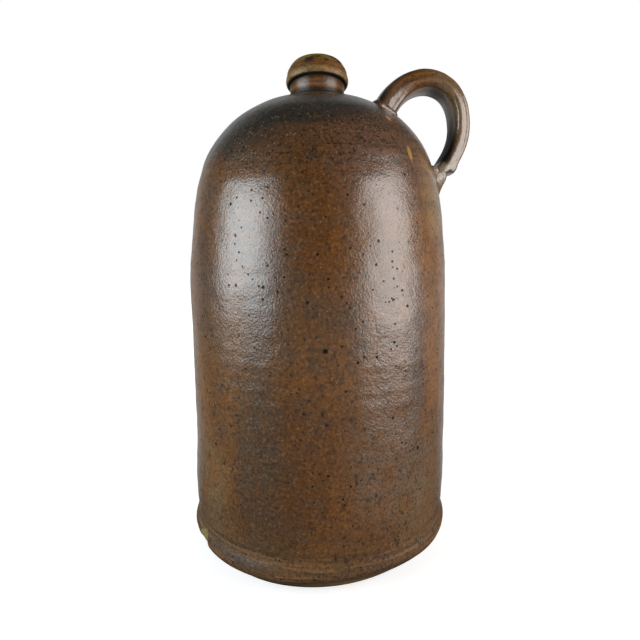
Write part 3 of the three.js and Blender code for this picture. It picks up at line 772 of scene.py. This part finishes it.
# Handle


def bezier(points, shares):
    a, b, c, d = (np.array(point, float) for point in points)
    t = np.asarray(shares)[:, None]
    return (1 - t) ** 3 * a + 3 * t * (1 - t) ** 2 * b + 3 * t * t * (1 - t) * c + t ** 3 * d


def strap_start_direction():
    lean = math.radians(STRAP_START_LEAN)
    return np.array([math.sin(lean), math.cos(lean)])


def strap_line(count):
    """Middle line of the strap in X and Z, evenly spaced, its direction and the length from its start."""
    start, middle, end = (np.array(place) for place in (STRAP_START, STRAP_OUTERMOST, STRAP_END))
    rise = math.radians(STRAP_END_RISE)
    leave = strap_start_direction()
    arrive = np.array([-math.cos(rise), -math.sin(rise)])
    up = np.array([0.0, 1.0])
    shares = np.linspace(0, 1, 400)
    upper = bezier((start, start + STRAP_PULLS[0] * leave, middle + STRAP_PULLS[1] * up, middle), shares)
    lower = bezier((middle, middle - STRAP_PULLS[2] * up, end - STRAP_PULLS[3] * arrive, end), shares)
    buried = start - leave * np.linspace(STRAP_BURIED, 0.1, 40)[:, None]
    line = np.vstack([buried, upper, lower[1:]])
    length = lengths(line)
    at = np.linspace(0, length[-1], count)
    line = placed(line, length, at)
    along = np.gradient(line, axis=0)
    return line, along / np.linalg.norm(along, axis=1, keepdims=True), at - STRAP_BURIED


def section_shapes(turn):
    """Points round the strap's section as shares of its half thickness and width.

    The first shape has the flat outside and the second one inside.
    """
    half = smooth_line(STRAP_SECTION, step=0.02)
    shape = np.vstack([half, half[-2:0:-1] * (1, -1)])
    shape = np.vstack([shape, shape[:1]])
    length = lengths(shape * (1, 2))
    outside = placed(shape, length, np.arange(turn) / turn * length[-1])
    return outside, outside[(turn // 2 - np.arange(turn)) % turn] * (-1, 1)


def section(shape, middle, along, out, back, half_width):
    """The section square to a direction in the handle's plane, with its reach outwards and back."""
    reach = shape[:, 0] * np.where(shape[:, 0] > 0, out, back)
    outward = np.array([-along[1], along[0]])
    across = half_width * shape[:, 1]
    return np.stack([middle[0] + reach * outward[0], across, middle[1] + reach * outward[1]], axis=-1)


def strap_rows():
    """The strap from its buried root to its pressed end."""
    line, along, at = strap_line(STRAP_COUNT)
    outside, inside = section_shapes(STRAP_TURN)
    share = np.clip(at / at[-1], 0, 1)
    thickness = np.interp(share, *np.array(STRAP_THICKNESS).T)
    flatter = np.interp(share, *np.array(STRAP_FLATTER).T)
    rows = []
    for i in range(STRAP_COUNT):
        turned = ease(share[i], 0.0, STRAP_TURNED)
        shape = turned * outside + (1 - turned) * inside
        left = at[-1] - at[i]
        half = thickness[i] / 2
        lip = LIP_HEIGHT * math.exp(-(((left - LIP_PLACE) / LIP_PLACE) ** 2))
        lip -= LIP_DROP * max(0.0, 1 - left / LIP_EDGE) ** 2
        corner = np.abs(shape[:, 1]) ** (1 - CORNER * ease(left, *CORNER_RANGE)) * np.sign(shape[:, 1])
        shape[:, 1] = np.where(shape[:, 0] < STRAP_WIDEST, corner, shape[:, 1])
        row = section(shape, line[i], along[i], half - flatter[i] + lip, half, STRAP_WIDTH / 2)
        run_on = RUN_ON * np.maximum(0.0, RUN_ON_FROM - shape[:, 0] * half) * ease(left, *RUN_ON_RANGE)
        rows.append(row + run_on[:, None] * np.array([along[i][0], 0.0, along[i][1]]))
    rows = np.array(rows)
    ridges = np.array([noise.noise((x * RIDGES_OUT, y * RIDGES_ACROSS, RIDGES_SEED)) for x, y in outside.tolist()])
    return pushed(rows, -row_normals(rows), STRAP_RIDGES * ridges[None, :] + relief(rows, STRAP_RELIEF))


def wad_rows():
    """A little clay pressed round the strap's root, with a crease where the strap rises out of it."""
    along = strap_start_direction()
    root = np.array(STRAP_START) - WAD_ROOT * along
    half, shape = STRAP_THICKNESS[0][1] / 2, section_shapes(STRAP_TURN)[1]
    rows = np.array([
        section(shape, root + rise * along, along, half + out, half + spread, STRAP_WIDTH / 2 + spread)
        for rise, spread, out in smooth_line(WAD, step=0.4)
    ])
    return pushed(rows, -row_normals(rows), relief(rows, WAD_RELIEF))


def pad_rows():
    """The strap's end pressed on to the shoulder, its tail smeared down to nothing."""
    reach, across = section_shapes(PAD_TURN)[0].T
    above = reach - STRAP_WIDEST
    lift = np.where(above > 0, above / (1 - STRAP_WIDEST), above / (1 + STRAP_WIDEST))
    rows = []
    for height, thick, half in smooth_line(PAD, step=0.6):
        squarer = 1 - PAD_CORNER * ease(height, *PAD_CORNER_HEIGHTS)
        side = half * np.sign(across) * np.abs(across) ** squarer
        radius = np.interp(height, body_line[:, 1], body_line[:, 0])
        out = np.sqrt(radius ** 2 - side ** 2) + lift * np.where(lift > 0, thick, PAD_SUNK)
        rows.append(np.stack([out, side, np.full_like(side, height)], axis=-1))
    rows = np.array(rows)[::-1]
    return pushed(rows, row_normals(rows), relief(rows, PAD_RELIEF))


add_loft("pulled_strap", "handle_strap", STRAP_GLAZE, strap_rows()[:, ::-1])
add_loft("root_wad", "handle_upper_wad", STRAP_GLAZE, wad_rows()[:, ::-1])
add_loft("tail_pad", "handle_lower_pad", STRAP_GLAZE, pad_rows())


# Iron spots: flat beads of black glass sunk in the glaze


def add_spots():
    chance = np.random.default_rng(11)
    spots = list(IRON_SPOTS)
    for _ in range(SCATTERED_SPOTS):
        azimuth = chance.uniform(-180, 180)
        height = chance.uniform(*SCATTER_HEIGHTS)
        spots.append((azimuth, height, SCATTER_WIDTH + SCATTER_WIDER * chance.random() ** 3))
    angle = np.arange(SPOT_SIDES)[:, None] / SPOT_SIDES * 2 * np.pi
    points, faces = [], []
    for azimuth, height, width in spots:
        row, column = body_row(height), int(round(azimuth / 360 * TURN)) % TURN
        centre, normal = body_rows[row, column], body_normals[row, column]
        across = np.cross((0, 0, 1), normal)
        across /= np.linalg.norm(across)
        up = np.cross(normal, across)
        wobble = 1 + SPOT_WOBBLE * chance.uniform(-1, 1, SPOT_SIDES)
        base = len(points)
        for share, lift in SPOT_RINGS:
            reach = width / 2 * share * wobble
            ring = centre + reach[:, None] * (np.cos(angle) * across + np.sin(angle) * up)
            points.extend(ring + lift * normal)
        end = len(points)
        points.extend([centre + SPOT_BOTTOM * normal, centre + SPOT_TOP * normal])
        faces.extend((ring_faces(len(SPOT_RINGS), SPOT_SIDES, False) + base).tolist())
        faces.extend(end_fans(SPOT_SIDES, base, end - SPOT_SIDES, end, end + 1))
    add_piece("iron_spots", None, SPOT_GLAZE, np.array(points), faces)


add_spots()


# Stage, light and camera

FILL, BACK_FILL = 0.12, 0.80  # light of the world from the front and from behind
FRONT_GLOW, BACK_GLOW = 0.028, 0.40  # the studio in reflections
FLOOR_GLOW, FLOOR_SIDE_GLOW = 0.058, 0.32  # the floor in reflections, and its part to the right of the camera
FLOOR_WHITE = 0.70  # added for the camera to the lit floor round the jug
FLOOR_GREY = (0.60, 0.60, 0.60, 1)
FLOOR_REACH = 4.0  # metres
JUG_RADIUS = 0.085  # metres
# Where these change from the first to the second, in metres on the floor and in shares of a direction
FILL_RANGE = (-0.1, 0.8)  # Y
BACKDROP_RANGE = (0.45, 0.90)  # Y
FLOOR_WHITE_RANGE = (0.15, 0.55)  # from the jug's axis
FLOOR_BACK_RANGE = (-0.08, 0.08)  # Y
FLOOR_SIDE_RANGE = (0.42, 0.62)  # X less Y

# Softboxes: degrees from the camera's side, distance, width, lower and upper edge in metres, radiance, colour
COOL, ROSY = (0.82, 0.94, 1.0), (1.0, 0.97, 0.94)
SOFTBOXES = {
    "softbox_left": (-61.5, 0.60, 0.38, 0.16, 0.48, 3.4, COOL),
    "softbox_left_edge": (-61.5, 0.61, 0.57, 0.08, 0.52, 3.25, COOL),
    "softbox_right": (60.0, 0.60, 0.35, 0.06, 0.55, 2.6, ROSY),
    "softbox_right_edge": (60.0, 0.61, 0.54, 0.01, 0.60, 2.5, ROSY),
}

# Camera at the photograph's place, in mm and degrees
CAMERA_PLACE = (0.0, -349.2, 206.4)
CAMERA_PITCH = -8.897
CAMERA_ROLL = -0.517
CAMERA_FOCAL_PIXELS = 505.09
CAMERA_CENTRE_PIXEL = 318.78
IMAGE_PIXELS = 640


def light_path(n, seen, mirrored, lit):
    """One shader for rays from the camera or through glass, one for reflections, one for all other light."""
    path = n.make("ShaderNodeLightPath").outputs
    straight = n.math("MAXIMUM", path["Is Camera Ray"], path["Is Transmission Ray"])
    other = n.make("ShaderNodeMixShader", {0: path["Is Glossy Ray"], 1: lit, 2: mirrored}).outputs[0]
    return n.make("ShaderNodeMixShader", {0: straight, 1: other, 2: seen}).outputs[0]


def backdrop(n, back, dim):
    """Glow in reflections: dim aside and in front, bright straight behind the jug."""
    return n.ramp(back, *BACKDROP_RANGE, dim, BACK_GLOW)


def straight_back(n, x, y):
    """How straight back it is to a place on the floor from the jug's nearer side: 1 if right behind."""
    values = {"Value": n.math("ABSOLUTE", x), "From Min": JUG_RADIUS, "From Max": JUG_RADIUS + 1.0}
    aside = n.make("ShaderNodeMapRange", values).outputs["Result"]
    flat = n.make("ShaderNodeCombineXYZ", {"X": aside, "Y": y}).outputs[0]
    return n.parts(n.vector("NORMALIZE", flat))["Y"]


def floor_material():
    """White to the camera with the jug's shadow left on it, a dim studio's floor in reflections."""
    n = Nodes(bpy.data.materials.new("pale_floor"))
    shader = n.tree.nodes["Principled BSDF"]
    n.fill(shader, {"Base Color": FLOOR_GREY, "Roughness": 0.9, "Specular IOR Level": 0.1})
    lit = shader.outputs[0]
    parts = n.parts(n.place)
    x, y = parts["X"], parts["Y"]
    away = n.math("MAXIMUM", n.math("ABSOLUTE", x), n.math("ABSOLUTE", y))
    added = n.make("ShaderNodeEmission", {"Strength": n.ramp(away, *FLOOR_WHITE_RANGE, FLOOR_WHITE, 1.0)})
    seen = n.make("ShaderNodeAddShader", {0: lit, 1: added.outputs[0]}).outputs[0]
    behind = n.math("MINIMUM", n.ramp(y, *FLOOR_BACK_RANGE, FLOOR_GLOW, BACK_GLOW),
                    backdrop(n, straight_back(n, x, y), FLOOR_GLOW))
    beside = n.ramp(n.math("SUBTRACT", x, y), *FLOOR_SIDE_RANGE, FLOOR_GLOW, FLOOR_SIDE_GLOW)
    mirrored = n.make("ShaderNodeEmission", {"Strength": n.math("MAXIMUM", behind, beside)}).outputs[0]
    n.fill(n.tree.nodes["Material Output"], {"Surface": light_path(n, seen, mirrored, lit)})
    return n.owner


def add_floor():
    mesh = bpy.data.meshes.new("floor")
    corners = [(FLOOR_REACH * x, FLOOR_REACH * y, 0) for x, y in ((-1, -1), (1, -1), (1, 1), (-1, 1))]
    mesh.from_pydata(corners, [], [(0, 1, 2, 3)])
    mesh.materials.append(floor_material())
    floor = bpy.data.objects.new("floor", mesh)
    bpy.context.scene.collection.objects.link(floor)


def add_world():
    """White to the camera, a dim studio in reflections and a soft fill otherwise."""
    n = Nodes(bpy.data.worlds.new("studio"), "Generated")
    towards = n.parts(n.place)["Y"]
    strengths = (1.0, backdrop(n, towards, FRONT_GLOW), n.ramp(towards, *FILL_RANGE, FILL, BACK_FILL))
    shaders = [n.make("ShaderNodeBackground", {"Color": WHITE, "Strength": strength}).outputs[0]
               for strength in strengths]
    n.fill(n.tree.nodes["World Output"], {"Surface": light_path(n, *shaders)})
    bpy.context.scene.world = n.owner


def add_softbox(name, azimuth, distance, width, low, high, radiance, colour):
    """An upright softbox that faces the jug's axis."""
    light = bpy.data.lights.new(name, "AREA")
    light.shape = "RECTANGLE"
    light.size, light.size_y = width, high - low
    light.energy = radiance * math.pi * width * (high - low)
    light.color = colour
    lamp = bpy.data.objects.new(name, light)
    turn = math.radians(azimuth)
    lamp.location = (distance * math.sin(turn), -distance * math.cos(turn), (low + high) / 2)
    lamp.rotation_euler = Vector((-lamp.location.x, -lamp.location.y, 0)).to_track_quat("-Z", "Y").to_euler()
    bpy.context.scene.collection.objects.link(lamp)


def add_camera():
    camera = bpy.data.cameras.new("camera")
    camera.sensor_fit = "HORIZONTAL"
    camera.sensor_width = 36.0
    camera.lens = camera.sensor_width * CAMERA_FOCAL_PIXELS / IMAGE_PIXELS
    camera.shift_x = (IMAGE_PIXELS / 2 - CAMERA_CENTRE_PIXEL) / IMAGE_PIXELS
    camera.clip_start = 0.01
    holder = bpy.data.objects.new("camera", camera)
    upright = Matrix.Rotation(math.radians(90 + CAMERA_PITCH), 4, "X")
    roll = Matrix.Rotation(math.radians(CAMERA_ROLL), 4, "Z")
    holder.matrix_world = Matrix.Translation(Vector(CAMERA_PLACE) * MM) @ upright @ roll
    bpy.context.scene.collection.objects.link(holder)
    bpy.context.scene.camera = holder


add_floor()
add_world()
for softbox, settings in SOFTBOXES.items():
    add_softbox(softbox, *settings)
add_camera()
bpy.context.scene.view_settings.view_transform = "Standard"
